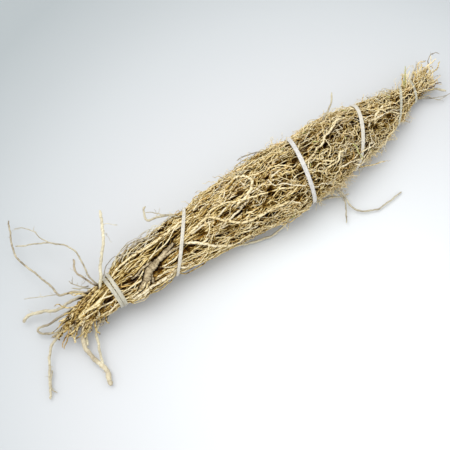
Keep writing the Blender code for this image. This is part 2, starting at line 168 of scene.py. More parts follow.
# Thin loose roots and stubs beside them: first and last radius, how light, then points along the root.
FINE_STRAYS = (
    (0.4, 0.22, 0.7, ((-147.5, 52.5, 17.8), (-150, 60, 15.5), (-151, 68, 12.5), (-155, 76, 9.5),
        (-160, 80, 7))),
    (0.35, 0.3, 0.6, ((-143, 12, 18), (-146.4, 14.2, 17), (-148.1, 17.7, 16), (-150.4, 20.1, 16),
        (-151, 22.7, 16))),
    (0.5, 0.35, 0.7, ((-140, 7, 18), (-143.8, 11.2, 17), (-147.8, 14.6, 16), (-151.8, 18.3, 14))),
    (0.25, 0.15, 0.8, ((-117, 33, 38), (-113, 32.5, 38.5), (-110, 29.8, 38), (-107.8, 28.6, 37))),
    (0.25, 0.18, 0.75, ((-119.5, 29, 37.2), (-116.2, 27.6, 36))),
    (0.8, 0.75, 0.66, ((-152, -1, 12), (-161.6, 1, 10), (-166.3, 1.1, 8), (-171.2, 2.2, 6), (-175.4, 1.6, 5),
        (-178.3, 0.8, 4))),
    (1.0, 0.85, 0.84, ((-134, -4, 14), (-139.3, -4.9, 14.5), (-141.5, -8.4, 12.5), (-144.6, -10, 10),
        (-148.3, -9.4, 8.2), (-149.6, -6.5, 8), (-147.8, -3.5, 9))),
    (0.8, 0.6, 0.78, ((-138, -2, 13), (-143, -6.5, 12.6), (-145.5, -7.5, 11), (-147, -6.2, 10))),
    (0.8, 0.85, 0.8, ((-146, 0, 11), (-156.5, -2.7, 9), (-158.6, -7, 6.6), (-161, -11.5, 5),
        (-163, -16.5, 4.4))),
    (0.35, 0.22, 0.5, ((-157, -3, 9), (-161.1, -4.6, 7), (-164.1, -4.1, 5), (-167.4, -4.1, 3))),
    (0.28, 0.15, 0.55, ((-153, -4, 9), (-155.6, -7.7, 7), (-157.7, -9.4, 5))),
    (0.28, 0.15, 0.6, ((-151, -5, 9), (-154.6, -8.4, 7), (-156, -11.5, 5))),
    (0.28, 0.15, 0.6, ((-149, -6, 9), (-153.2, -8.6, 7), (-154.1, -12, 5))),
    (0.45, 0.25, 0.66, ((-60, 10, 24), (-70, 14, 28.5), (-78, 20, 30.5), (-83, 25, 31), (-87, 29, 30))),
    (0.6, 0.5, 0.76, ((0, -14, 12), (9, -18.5, 9), (18, -21, 6.5), (27, -22.5, 4.5), (34, -26, 3.4),
        (39, -27, 3))),
    (0.55, 0.4, 0.7, ((-190, -17, 3.6), (-196, -26, 2.6), (-194.5, -30.5, 2))),
    (0.35, 0.2, 0.6, ((122, 6, 7), (130.2, 2.5, 6), (133.8, -1.3, 5), (137, -4.4, 4), (139, -5.3, 4),
        (144.7, -6.2, 4))),
    (0.4, 0.22, 0.6, ((126, 13, 11), (131, 17, 12), (133.6, 19.3, 13), (137.2, 21.7, 14.5),
        (139.4, 24.2, 16))),
)

# Pale green slivers near the tip and on the bundle: first and last radius, then points.
GREEN_SLIVERS = (
    (0.85, 0.25, ((121, 13, 11), (124.5, 18.6, 14), (126.7, 21.7, 16), (129, 24.6, 18))),
    (0.6, 0.25, ((118, 11, 11.5), (120.2, 14.3, 13), (121.8, 17.5, 14), (123.3, 20.7, 15))),
    (1.0, 0.3, ((105.5, 12, 12.5), (105.1, 13.9, 14), (105, 17.3, 15))),
    (0.45, 0.3, ((51.6, -9.5, 33.4), (52.7, -12.7, 32.5), (52.3, -15.3, 29.8), (53.9, -17.9, 26),
        (54.3, -19, 23))),
)

# Roots that show on the bundle's surface: radius, then x and the angle round the bundle in degrees.
SHOWN_ROOTS = (
    (0.95, ((-76, 103), (-67, 100), (-58, 97), (-51, 115), (-44, 132), (-36, 141), (-17, 141), (-7, 144))),
    (1.0, ((-79, 113), (-70, 133), (-62, 156), (-50, 182))),
    (1.0, ((-41, 106), (-32, 103), (-25, 95), (-21, 84), (-22, 72), (-26, 62), (-31, 58))),
    (0.8, ((93, 88), (86, 95), (80, 102), (76, 118))),
    (0.74, ((58, 65), (52, 71), (46, 80), (38, 85), (33, 93), (28, 95), (24, 99), (20, 101), (16, 109),
        (14, 118))),
    (0.66, ((45, 124), (40, 121), (37, 128), (34, 132), (28, 130), (24, 134), (24, 144))),
    (0.75, ((87, 108), (80, 109), (74, 106), (70, 116))),
    (0.7, ((101, 109), (95, 104), (88, 98), (81, 90))),
    (1.15, ((-126, 166), (-119, 160), (-112, 157), (-104, 160), (-96, 162), (-88, 165), (-80, 170))),
    (0.7, ((-110, 140), (-114, 149), (-119, 165), (-124, 182))),
    (0.65, ((-112, 136), (-119, 148), (-127, 156), (-136, 160), (-146, 170))),
    (0.8, ((-130, 60), (-120, 63), (-112, 66), (-105, 70), (-98, 74), (-90, 74), (-80, 71), (-68, 66))),
    (1.05, ((-120, 180), (-115, 165), (-111, 158), (-106, 159), (-101, 166), (-96, 174), (-90, 172))),
    (0.75, ((-56, 127), (-50, 123), (-46, 120), (-41, 117), (-36, 113), (-31, 109), (-27, 99))),
)

# Roots that lie across the lower end of band_4 and hide it, in the same columns.
CROSSING_ROOTS = (
    (0.5, ((46, 151), (51.5, 146), (56.4, 147), (59.7, 150), (63.3, 153), (67, 156), (71, 159))),
    (0.6, ((34, 143), (38.7, 146), (43, 148), (46.7, 152), (50.3, 156), (54, 160), (59, 164))),
    (0.55, ((47, 160), (50, 168), (54, 174), (58.3, 171), (62, 166), (66, 164))),
    (0.35, ((49, 165), (53, 158), (57, 162), (61, 159), (64, 148), (66, 142))),
)

# The thick crooked root: x, angle in degrees, depth of its middle below the envelope, radius.
STOUT_ROOT = (
    (-74, 95, 4.2, 0.9), (-81, 97, 3.2, 1.2), (-88, 101, 1.9, 1.6),
    (-95, 109, 1.2, 2.4), (-102, 115, 1.0, 3.0), (-108, 122, 1.1, 2.8),
    (-111, 133, 1.3, 2.4), (-116, 146, 1.6, 1.9), (-121, 165, 2.6, 1.3),
)
# Its side branches, in the same columns.
STOUT_BRANCHES = (
    ((-97, 112, 1.6, 1.7), (-92, 112, 0.9, 1.2), (-88, 112, 0.8, 1.0), (-83, 114, 1.4, 0.85),
        (-78, 118, 2.8, 0.7)),
    ((-109, 133, 1.4, 1.7), (-112, 150, 1.0, 1.25), (-114, 166, 0.9, 1.0), (-115, 184, 1.6, 0.8)),
    ((-107, 128, 1.6, 1.4), (-108, 141, 1.3, 1.0), (-108.5, 158, 1.0, 0.8), (-107, 178, 1.8, 0.6)),
    ((-103, 108, 1.5, 1.2), (-108, 105, 0.7, 0.9), (-113, 108, 0.6, 0.75), (-119, 112, 1.8, 0.6)),
)

BURIED = 2.5  # where it lies deeper than this, the others run over it
BESIDE = 0.3  # the others give way from this share beyond its reach
ACROSS = 2.0  # a root that lies across it rises from this many times its reach

# Hollows in the surface, where the roots lie deeper and the painted shade of the depths makes them dark: x,
# angle in degrees, radius and depth.
HOLLOW_SHAPE = 1.5  # their length over their breadth
HOLLOWS = (
    (9, 93, 3.0, 2.0), (9, 112, 3.5, 2.6), (-12, 92, 2.5, 2.4), (-15, 112, 3.0, 3.0),
    (-23, 130, 2.5, 2.2), (-33, 118, 2.5, 1.5), (-31, 88, 3.0, 1.8), (-62, 147, 2.5, 1.5),
    (-66, 114, 3.0, 2.2), (-78, 124, 3.0, 1.5), (-101, 132, 2.5, 1.6), (-118, 122, 3.0, 1.0),
    (43, 138, 3.0, 2.2), (63, 146, 2.5, 1.8), (77, 125, 3.0, 1.8), (92, 121, 3.0, 1.8),
)

rng = np.random.default_rng(27)


def hermite_table():
    """The envelope's columns, sampled every half millimetre along a smooth curve through PROFILE."""
    k, step = PROFILE, 0.5
    xs = np.arange(k[0, 0], k[-1, 0] + step, step)
    xs = xs[xs <= k[-1, 0]]
    i = np.clip(np.searchsorted(k[:, 0], xs, side="right") - 1, 0, len(k) - 2)
    near = [k[np.clip(i + j, 0, len(k) - 1)] for j in (-1, 0, 1, 2)]
    width = (near[2][:, 0] - near[1][:, 0])[:, None]
    t = ((xs - near[1][:, 0]) / width[:, 0])[:, None]
    v1, v2 = near[1][:, 1:], near[2][:, 1:]
    m1 = (v2 - near[0][:, 1:]) / (near[2][:, :1] - near[0][:, :1]) * width
    m2 = (near[3][:, 1:] - v1) / (near[3][:, :1] - near[1][:, :1]) * width
    columns = (
        (2 * t**3 - 3 * t**2 + 1) * v1 + (t**3 - 2 * t**2 + t) * m1
        + (3 * t**2 - 2 * t**3) * v2 + (t**3 - t**2) * m2
    )
    return xs, columns


TABLE_X, TABLE = hermite_table()


def section(x):
    """Centre y, centre z, half width and half height of the envelope at each x."""
    cy, a, low = (np.interp(x, TABLE_X, TABLE[:, i]) for i in range(3))
    b = HEIGHT_SHARE * a
    return cy, low + b, a, b


def slimness(x):
    """1 where the bundle has its full size and less where it is thin."""
    return np.minimum(1.0, section(x)[2] / FULL_SIZE_WIDTH)


def lerp(a, b, t):
    return a + (b - a) * t


def band_x(band, y, z):
    return band[0] + band[1] * y + band[2] * z


def band_half(band):
    """Half of a band's breadth along X, all its turns and the margin included."""
    return band[3] / 2 + BAND_MARGIN + (band[4] - 1) * TURN_SPACING / 2


def on_envelope(x, angle, inset):
    """Points round the bundle, inset below its envelope. Angle 0 faces +Y, a quarter turn is up."""
    cy, cz, a, b = section(x)
    c, s = np.cos(angle), np.sin(angle)
    pull = sum(
        PINCH_DEPTH * np.exp(-(((x - band_x(band, a * c, b * s)) / PINCH_REACH) ** 2))
        for band in BANDS.values()
    )
    inset = inset + pull * slimness(x)
    return np.stack([x, cy + (a - inset) * c, cz + (b - inset) * s], axis=-1)


def band_cover(x, angle, inset, radius, over=False):
    """The inset that keeps a root of this radius under every band, or with over set above it."""
    _, _, a, b = section(x)
    y, z = a * np.cos(angle), b * np.sin(angle)
    for band in BANDS.values():
        beside = band_half(band) + BAND_EASE - np.abs(x - band_x(band, y, z))
        near = np.clip(beside / BAND_EASE, 0.0, 1.0)
        if over:
            move = np.minimum(0.0, -BAND_GAP - BAND_THICKNESS - radius - inset)
        else:
            move = np.maximum(0.0, radius - BAND_GAP + CLEARANCE - inset)
        inset = inset + near * near * (3 - 2 * near) * move
    return inset


def pressed(x, angle, inset, radius, over):
    """The inset that keeps a root of this radius under the thick root, or over it, and lower in a hollow."""
    _, _, a, b = section(x)
    size = np.sqrt(a * b)
    for place_x, degrees, depth, thick in STOUT_FINE:
        if depth > BURIED:
            continue
        aside = (angle - np.radians(degrees) + math.pi) % math.tau * size - math.pi * size
        away = np.hypot(x - place_x, aside)
        reach = thick + radius + CLEARANCE
        under = depth + (thick + radius) * np.sqrt(np.clip(1 - (away / reach) ** 2, 0, 1))
        near = np.clip((reach * (1 + BESIDE) - away) / (reach * BESIDE), 0, 1)
        hump = depth - reach * np.cos(math.pi / 2 * np.clip(away / reach / ACROSS, 0, 1)) ** 2
        shifted = np.where(over, np.minimum(inset, hump), np.maximum(inset, lerp(inset, under, near)))
        inset = np.where(away < reach * np.where(over, ACROSS, 1 + BESIDE), shifted, inset)
    for place_x, degrees, wide, deep in HOLLOWS:
        turned = (angle - math.radians(degrees) + math.pi) % math.tau - math.pi
        aside = turned * size / wide * HOLLOW_SHAPE
        inset = inset + deep * np.exp(-(((x - place_x) / wide) ** 2) - aside**2)
    return inset


def kept_between(path, radii):
    """The path, lifted off the table and bent down softly where it would rise too high."""
    over = np.maximum(path[..., 2] - (TOP - TOP_ROOM), 0.0)
    z = np.where(over > 0, TOP - TOP_ROOM * np.exp(-over / TOP_ROOM), path[..., 2])
    path[..., 2] = np.clip(z, LUMPY_RADIUS * radii + TABLE_GAP, TOP - radii)
    return path


def outward(x, angle):
    """Unit vectors that point out of the bundle at these places."""
    _, _, a, b = section(x)
    return unit(np.stack([np.zeros_like(x), np.cos(angle) / a, np.sin(angle) / b], axis=-1))


def unit(v):
    return v / np.maximum(np.linalg.norm(v, axis=-1, keepdims=True), 1e-9)


def waves(count, along, length):
    """Smooth random curves about zero, one a row, over the distances in along."""
    total = 0.0
    for share, part in ((0.6, 1.0), (0.35, 0.43), (0.2, 0.19)):
        period = length * part * rng.uniform(0.75, 1.3, (count, 1))
        phase = rng.uniform(0, math.tau, (count, 1))
        total = total + share * np.sin(math.tau * along / period + phase)
    return total


def zigzag(count, along, length):
    """Random headings that stay nearly even between sharp turns, one root a row."""
    total = 0.0
    for share, part in ((0.62, 1.0), (0.38, 0.4)):
        period = length * part * rng.uniform(0.6, 1.6, (count, 1))
        phase = rng.uniform(0, math.tau, (count, 1))
        total = total + share * np.tanh(3 * np.sin(math.tau * along / period + phase))
    return total


def smooth_path(points, step):
    """Points at about this spacing along a Catmull-Rom curve through the given ones."""
    p = np.array(points, float)
    p = np.vstack([2 * p[0] - p[1], p, 2 * p[-1] - p[-2]])
    path = []
    for a, b, c, d in zip(p, p[1:], p[2:], p[3:]):
        t = np.linspace(0, 1, max(2, round(np.linalg.norm(c - b) / step) + 1))[:-1, None]
        path.append(0.5 * (
            2 * b + (c - a) * t + (2 * a - 5 * b + 4 * c - d) * t**2 + (3 * b - a - 3 * c + d) * t**3
        ))
    return np.vstack([*path, p[-2]])


def transported(path):
    """A normal at each point of one path, which doesn't twist about it."""
    tangent = unit(np.gradient(path, axis=0))
    normal = unit(np.cross(tangent[0], ASKEW))
    normals = [normal]
    for t in tangent[1:]:
        normal = unit(normal - t * (normal @ t))
        normals.append(normal)
    return np.array(normals)


def filled_in(rows):
    """The rows with three more between each two."""
    count = len(rows)
    places = np.linspace(0, count - 1, 4 * (count - 1) + 1)
    return np.column_stack([np.interp(places, np.arange(count), column) for column in zip(*rows)])


STOUT_FINE = np.vstack([filled_in(rows) for rows in (STOUT_ROOT, *STOUT_BRANCHES)])


def depth_shade(inset):
    """The painted shade at this depth below the envelope, from 1, unshaded, near the surface, down to 0."""
    return np.clip(np.exp(-(inset + 0.1) / SHADE_DEPTH), 0.0, 1.0)


def depth_of(path):
    """How deep in the bundle these points are, negative outside it."""
    cy, cz, a, b = section(path[..., 0])
    across = np.hypot((path[..., 1] - cy) / a, (path[..., 2] - cz) / b)
    beyond = np.maximum(PROFILE[0, 0] - path[..., 0], path[..., 0] - PROFILE[-1, 0])
    return np.minimum((1 - across) * np.sqrt(a * b), -beyond)


def in_reach(path):
    """Which of n paths stay within the CAD's length and breadth."""
    low, high = (np.array(corner[:2]) / MM for corner in cad_box)
    return ((path[..., :2] > low) & (path[..., :2] < high)).all(axis=(1, 2))


def clear_of_bands(path):
    """Which of n paths pass through no band."""
    cy, cz, _, _ = section(path[..., 0])
    height = -depth_of(path)
    clear = np.ones(len(path), bool)
    low, high = BAND_SPACE
    for band in BANDS.values():
        away = np.abs(path[..., 0] - band_x(band, path[..., 1] - cy, path[..., 2] - cz))
        clear &= ~((away < band_half(band)) & (height > low) & (height < high)).any(axis=1)
    return clear


def placed(name, data):
    """A new object in the scene."""
    made = bpy.data.objects.new(name, data)
    bpy.context.scene.collection.objects.link(made)
    return made


def smooth_mesh(name, points, faces, material):
    """A mesh with smooth shading from points in millimetres."""
    mesh = bpy.data.meshes.new(name)
    mesh.from_pydata((points * MM).tolist(), [], faces)
    mesh.polygons.foreach_set("use_smooth", np.ones(len(faces), bool))
    mesh.materials.append(material)
    return mesh


class Piece:
    """Tubes gathered for one mesh. Each point keeps three marks for its looks: how light its root is, the
    painted shade at the point, and how warm or grey its root is."""

    def __init__(self, name):
        self.name, self.points, self.quads, self.caps, self.marks = name, [], [], [], []
        self.size = 0

    def tubes(self, paths, radii, normals, sides, marks, lumps=0.12, depth=None):
        """Adds n tubes of m points: paths n m 3, radii n m, normals n m 3 or n 1 3, marks n 3. Depth, n m, is
        how deep in the bundle each point lies. It sets the second mark, a painted shade: darker deeper in,
        lighter on the side that faces out."""
        n, m, _ = paths.shape
        tangent = unit(np.gradient(paths, axis=1))
        across = unit(normals - (normals * tangent).sum(-1, keepdims=True) * tangent)
        side = np.cross(tangent, across)
        turn = np.arange(sides) * math.tau / sides
        ring = (
            np.cos(turn)[:, None] * across[:, :, None, :] + np.sin(turn)[:, None] * side[:, :, None, :]
        ) * (radii[:, :, None] * rng.uniform(1 - lumps, 1 + lumps, (n, m, sides)))[..., None]
        ring = ring + paths[:, :, None, :]
        ids = self.size + np.arange(n * m * sides).reshape(n, m, sides)
        after = np.roll(ids, -1, axis=2)
        self.quads.append(
            np.stack([ids[:, :-1], after[:, :-1], after[:, 1:], ids[:, 1:]], axis=-1).reshape(-1, 4)
        )
        self.caps += [*ids[:, 0, ::-1], *ids[:, -1]]
        self.points.append(ring.reshape(-1, 3))
        marks = np.broadcast_to(marks[:, None, None, :], (n, m, sides, 3)).copy()
        if depth is not None:
            # painted shade on each root: its flanks and underside count as deeper than its outer side, so
            # they are coloured darker
            side_shade = radii[:, :, None] * (1.5 - 2.5 * np.cos(turn))
            marks[..., 1] = depth_shade(depth[:, :, None] + side_shade)
        self.marks.append(marks.reshape(-1, 3))
        self.size += n * m * sides

    def tube(self, path, radii, mark, sides, normals=None, lumps=0.12, depth=None):
        """Adds one tube along the path."""
        normals = transported(path) if normals is None else normals
        depth = None if depth is None else depth[None]
        self.tubes(path[None], radii[None], normals[None], sides, np.array([mark], float), lumps, depth)

    def build(self, material, *replaced):
        faces = np.concatenate(self.quads).tolist() + [cap.tolist() for cap in self.caps]
        mesh = smooth_mesh(self.name, np.concatenate(self.points), faces, material)
        marks = np.column_stack([np.concatenate(self.marks), np.ones(self.size)]).ravel()
        mesh.color_attributes.new("root_marks", "FLOAT_COLOR", "POINT").data.foreach_set("color", marks)
        made = placed(self.name, mesh)
        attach(made, "root")
        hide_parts(*replaced)


def creeping(piece, count, depth, radius, tint, points, reach=1.0, weave=1.0, sides=4, span=(START_X, END_X),
             lift=0.0, over=0.0):
    """Roots that creep along the bundle at about this depth: straighter and thicker at the stout end, finer
    and curlier towards the tip, calmer there on the side that faces up and back. Lift bows their middles out
    of the bundle, and the share given in over lies across the thick root."""
    mid = rng.choice(TABLE_X, size=4 * count, p=TABLE[:, 1] / TABLE[:, 1].sum())
    mid = mid[(mid > span[0]) & (mid < span[1])][:count]
    count = len(mid)
    fine = np.clip((mid - FINE_START) / FINE_LENGTH + rng.normal(0, 0.2, count), 0, 1)

    def between(values):
        return lerp(*values, fine)[:, None]

    length = lerp(*LENGTHS, fine) * rng.uniform(0.5, 1.5, count) * reach
    length = np.minimum(length, END_X - START_X)
    x = np.clip(mid - length / 2, START_X, END_X - length)
    angle = rng.uniform(0, math.tau, count)
    thick = radius * lerp(*GIRTHS, fine) * rng.lognormal(0, 0.3, count)
    along = np.linspace(0, 1, points)[None] * length[:, None]
    turn = between(WAVE_SIZES) * weave * waves(count, along, between(WAVE_LENGTHS))
    turn = turn + between(CORNER_SIZES) * weave * zigzag(count, along, between(CORNER_LENGTHS))
    turn = turn + rng.normal(0, 1, (count, 1)) * between(SLANTS) * weave
    for _ in range(3):
        place = rng.uniform(0, 1, (count, 1)) * length[:, None]
        bend = rng.normal(0, 1, (count, 1)) * between(KINKS) * weave
        turn = turn + bend * np.exp(-(((along - place) / rng.uniform(1.0, 3.0, (count, 1))) ** 2))
    turn = turn * lerp(1.0, 0.5, fine * (np.cos(angle - 0.6) > 0.6))[:, None]
    step = length / (points - 1)
    xs, angles = [x], [angle]
    for j in range(points - 1):
        _, _, a, b = section(xs[-1])
        xs.append(np.clip(xs[-1] + np.cos(turn[:, j]) * step, START_X, END_X))
        angles.append(angles[-1] + np.sin(turn[:, j]) * step / np.sqrt(a * b))
    x, angle = np.array(xs).T, np.array(angles).T
    scale = slimness(x)
    share = along / length[:, None]
    ends = np.clip(1 - np.minimum(share, 1 - share) * length[:, None] / END_TAPER, 0, 1) ** 2
    sink = rng.uniform(-0.4, 3.0, (count, 1))
    inset = depth + between(DIP_SIZES) * waves(count, along, between(DIP_LENGTHS)) + ends * sink
    inset = inset - lift * rng.uniform(0.3, 1.0, (count, 1)) * np.sin(math.pi * share)
    radii = thick[:, None] * (1 + 0.16 * waves(count, along, 9)) * (1 - 0.55 * ends)
    across = rng.uniform(0, 1, (count, 1)) < over
    inset = band_cover(x, angle, pressed(x, angle, inset * scale, radii, across), radii)
    path = kept_between(on_envelope(x, angle, inset), radii)
    # painted shade: how deep each point counts for darkening, relative to the bundle's size and scaled along
    # X
    painted_depth = inset / scale * np.interp(x, *zip(*DEPTH_SHADE_ALONG))
    piece.tubes(path, radii, outward(x, angle), sides, root_marks(mid, tint), depth=painted_depth)


def root_marks(x, tint, darkest=0.0):
    """The numbers that give roots at these places their looks. Some are much darker or a little lighter, and
    the belly and the tip are lighter than the stout end."""
    count = len(x)
    change, share = zip(*STAINS)
    stained = rng.choice(change, size=count, p=share)
    light = np.clip(rng.normal(*tint, count) + stained + np.interp(x, *zip(*TONE)), darkest, 1.1)
    return np.stack([light, np.ones(count), rng.uniform(0, 1, count)], axis=-1)


def bends(count, along, length):
    """Smooth random curves in X, Y and Z."""
    return np.stack([waves(count, along, length) for _ in range(3)], axis=-1)


def wandering(path, amount, length):
    """The path with small random bends."""
    along = np.r_[0, np.cumsum(np.linalg.norm(np.diff(path, axis=0), axis=1))][None]
    return path + amount * bends(1, along, length)[0]


def free_roots(piece, path, thick, tint, sides=4):
    """Adds roots that stand off the bundle, except those that would pass through a band or reach too far."""
    path = kept_between(path, thick)
    kept = in_reach(path) & clear_of_bands(path)
    path, thick = path[kept], thick[kept]
    up = np.broadcast_to(ASKEW, (len(path), 1, 3))
    marks = root_marks(path[:, 0, 0], tint, darkest=FREE_DARKEST)
    # painted shade: a root is coloured darker where it still lies inside the bundle
    piece.tubes(path, thick, up, sides, marks, lumps=0.0, depth=depth_of(path))


def hairs(piece, count, span, angles, length, radius, curl, spread=1.0, points=9, tint=(0.78, 0.1)):
    """Fine short roots that stand off the bundle: they start just under its surface and curl away."""
    x = rng.uniform(*span, count)
    angle = np.radians(rng.uniform(*angles, count))
    size = length * rng.uniform(0.5, 1.5, count)
    out = outward(x, angle)
    along_x = rng.choice((-1.0, 1.0), (count, 1)) * np.array((1.0, 0.0, 0.0))
    heading = unit(along_x + spread * rng.uniform(0.15, 1.0, (count, 1)) * out
                   + rng.normal(0, 0.5, (count, 1)) * np.cross(out, along_x))
    t = np.linspace(0, 1, points)[None, :, None]
    bend = bends(count, t[..., 0] * size[:, None], 9)
    start = on_envelope(x, angle, np.full(count, 1.2))[:, None]
    path = start + heading[:, None] * t * size[:, None, None] + curl * bend * t
    free_roots(piece, path, radius * rng.uniform(0.7, 1.3, (count, 1)) * (1 - 0.6 * t[..., 0]), tint)


def arcs(piece, count, span, angles, reach, lift, radius, tint=(0.72, 0.1)):
    """Thin roots that bow out of the bundle's surface. Some come back to it, the others end in the air."""
    middle = rng.uniform(*span, (count, 1))
    angle = np.radians(rng.uniform(*angles, (count, 1)))
    size = reach * rng.uniform(0.6, 1.4, (count, 1))
    lean = rng.normal(0, 0.3, (count, 1))
    t = np.linspace(0, 1, 16)[None] * np.minimum(1.0, rng.uniform(0.5, 1.5, (count, 1)))
    flip = rng.choice((-1.0, 1.0), (count, 1))
    x = np.clip(middle + flip * (t - 0.5) * size * np.cos(lean), START_X, END_X)
    _, _, a, b = section(x)
    angle = angle + (t - 0.5) * size * np.sin(lean) / np.sqrt(a * b) + 0.04 * waves(count, t * size, 8)
    height = lift * rng.uniform(0.4, 1.3, (count, 1))
    height = height * np.sin(math.pi * t ** rng.uniform(0.7, 1.4, (count, 1)))
    path = on_envelope(x, angle, 0.9 - height + 0.25 * waves(count, t * size, 7))
    free_roots(piece, path, radius * rng.uniform(0.7, 1.4, (count, 1)) * (1 - 0.5 * t), tint)


def fan(piece, count, span, toward, length, radius, curl, spread=0.5, droop=0, points=16, tint=(0.76, 0.12)):
    """Roots that start inside an end of the bundle, within the span, and leave it in the direction of toward,
    spread and bent."""
    x = rng.uniform(*span, count)
    angle = rng.uniform(0, math.tau, count)
    _, _, a, b = section(x)
    start = on_envelope(x, angle, np.sqrt(a * b) * rng.uniform(0.05, 0.98, count))
    size = length * rng.uniform(0.4, 1.5, (count, 1))
    t = np.linspace(0, 1, points)[None]
    bend = bends(count, t * size, 14)
    heading = np.array(toward) + spread * rng.uniform(0.1, 1.0, (count, 1)) * outward(x, angle)
    heading = heading[:, None] + (curl * bend + (0, 0, -droop)) * t[..., None]
    path = start[:, None] + np.cumsum(unit(heading), axis=1) * (size / points)[..., None]
    thick = radius * rng.lognormal(0, 0.3, (count, 1)) * (1 - 0.45 * t**2)
    free_roots(piece, path, thick * (1 + 0.15 * waves(count, t * size, 7)), tint, sides=5)


def core():
    """The middle of the bundle, which no light passes, painted black as shade."""
    rows, columns = 120, 40
    xs = np.linspace(START_X + 6, END_X - 12, rows)
    x, angle = np.meshgrid(xs, np.arange(columns) * math.tau / columns, indexing="ij")
    ridges = 0.5 * np.sin(9 * angle + 0.02 * x) + rng.uniform(-0.5, 0.5, x.shape)
    points = on_envelope(x, angle, (CORE_DEPTH + ridges) * slimness(x))
    piece = Piece("bundle_core")
    ids = np.arange(x.size).reshape(x.shape)
    after = np.roll(ids, -1, axis=1)
    piece.points.append(points.reshape(-1, 3))
    piece.quads.append(np.stack([ids[:-1], ids[1:], after[1:], after[:-1]], axis=-1).reshape(-1, 4)[:, ::-1])
    piece.caps += [ids[0, ::-1], ids[-1]]
    piece.size = x.size
    # painted shade: a shade mark of 0 colours the core black, as the shade deep inside the bundle
    piece.marks.append(np.tile((0.2, 0.0, 0.5), (x.size, 1)))
    return piece


class Tree:
    """A material's nodes. An input that is another node's output is linked, any other is set."""

    def __init__(self, name):
        self.material = bpy.data.materials.new(name)
        self.material.use_nodes = True
        self.nodes, self.links = self.material.node_tree.nodes, self.material.node_tree.links
        self.nodes.clear()
        output = self.nodes.new("ShaderNodeOutputMaterial")
        self.shader = self.nodes.new("ShaderNodeBsdfPrincipled")
        self.links.new(self.shader.outputs["BSDF"], output.inputs["Surface"])

    def put(self, node, inputs):
        for key, value in inputs.items():
            if isinstance(value, bpy.types.NodeSocket):
                self.links.new(value, node.inputs[key])
            else:
                node.inputs[key].default_value = value

    def add(self, kind, inputs, output=0, **settings):
        node = self.nodes.new("ShaderNode" + kind)
        for key, value in settings.items():
            setattr(node, key, value)
        self.put(node, inputs)
        return node.outputs[output]

    def noise(self, scale, detail=3.0, roughness=0.55):
        place = self.add("Mapping", {"Vector": self.add("TexCoord", {}, "Object"), "Scale": scale})
        return self.add("TexNoise", {"Vector": place, "Scale": 1.0, "Detail": detail, "Roughness": roughness})

    def ramp(self, factor, stops):
        node = self.nodes.new("ShaderNodeValToRGB")
        self.put(node, {"Fac": factor})
        elements = node.color_ramp.elements
        while len(elements) < len(stops):
            elements.new(0.5)
        for element, (place, colour) in zip(elements, stops):
            element.position = place
            element.color = (*colour, 1.0)
        return node.outputs["Color"]

    def range(self, value, low, high, new_low, new_high):
        return self.add("MapRange", {0: value, 1: low, 2: high, 3: new_low, 4: new_high})

    def sum(self, a, b):
        return self.add("Math", {0: a, 1: b}, operation="ADD")

    def scaled(self, colour, factor):
        return self.add("VectorMath", {0: colour, "Scale": factor}, operation="SCALE")

    def mix(self, factor, a, b):
        node = self.nodes.new("ShaderNodeMix")
        node.data_type = "RGBA"
        self.put(node, {0: factor, 6: a, 7: b})
        return node.outputs[2]

    def bump(self, height, strength, distance):
        self.put(self.shader, {
            "Normal": self.add("Bump", {"Height": height, "Strength": strength, "Distance": distance})
        })


# Colours for a lightness once the painted shade has darkened it: the dark ends colour dark stains and the
# painted shade deep between the roots.
ROOT_PALETTE = (
    (0.0, (0.006, 0.002, 0.0005)), (0.12, (0.024, 0.008, 0.0005)), (0.28, (0.105, 0.048, 0.004)),
    (0.43, (0.262, 0.156, 0.032)), (0.58, (0.453, 0.308, 0.102)), (0.72, (0.64, 0.48, 0.186)),
    (0.84, (0.78, 0.62, 0.308)), (1.0, (0.88, 0.75, 0.46)),
)
LOOSE_PALETTE = (
    (0.0, (0.012, 0.008, 0.004)), (0.25, (0.08, 0.058, 0.034)), (0.45, (0.222, 0.182, 0.125)),
    (0.6, (0.368, 0.318, 0.225)), (0.75, (0.52, 0.458, 0.32)), (0.9, (0.68, 0.615, 0.435)),
    (1.0, (0.81, 0.755, 0.57)),
)
STOUT_PALETTE = (
    (0.0, (0.014, 0.008, 0.003)), (0.35, (0.095, 0.066, 0.034)), (0.62, (0.262, 0.196, 0.11)),
    (0.82, (0.462, 0.368, 0.225)), (1.0, (0.675, 0.56, 0.365)),
)
GREEN_PALETTE = (
    (0.0, (0.05, 0.045, 0.01)), (0.5, (0.268, 0.252, 0.07)), (1.0, (0.63, 0.605, 0.255)),
)


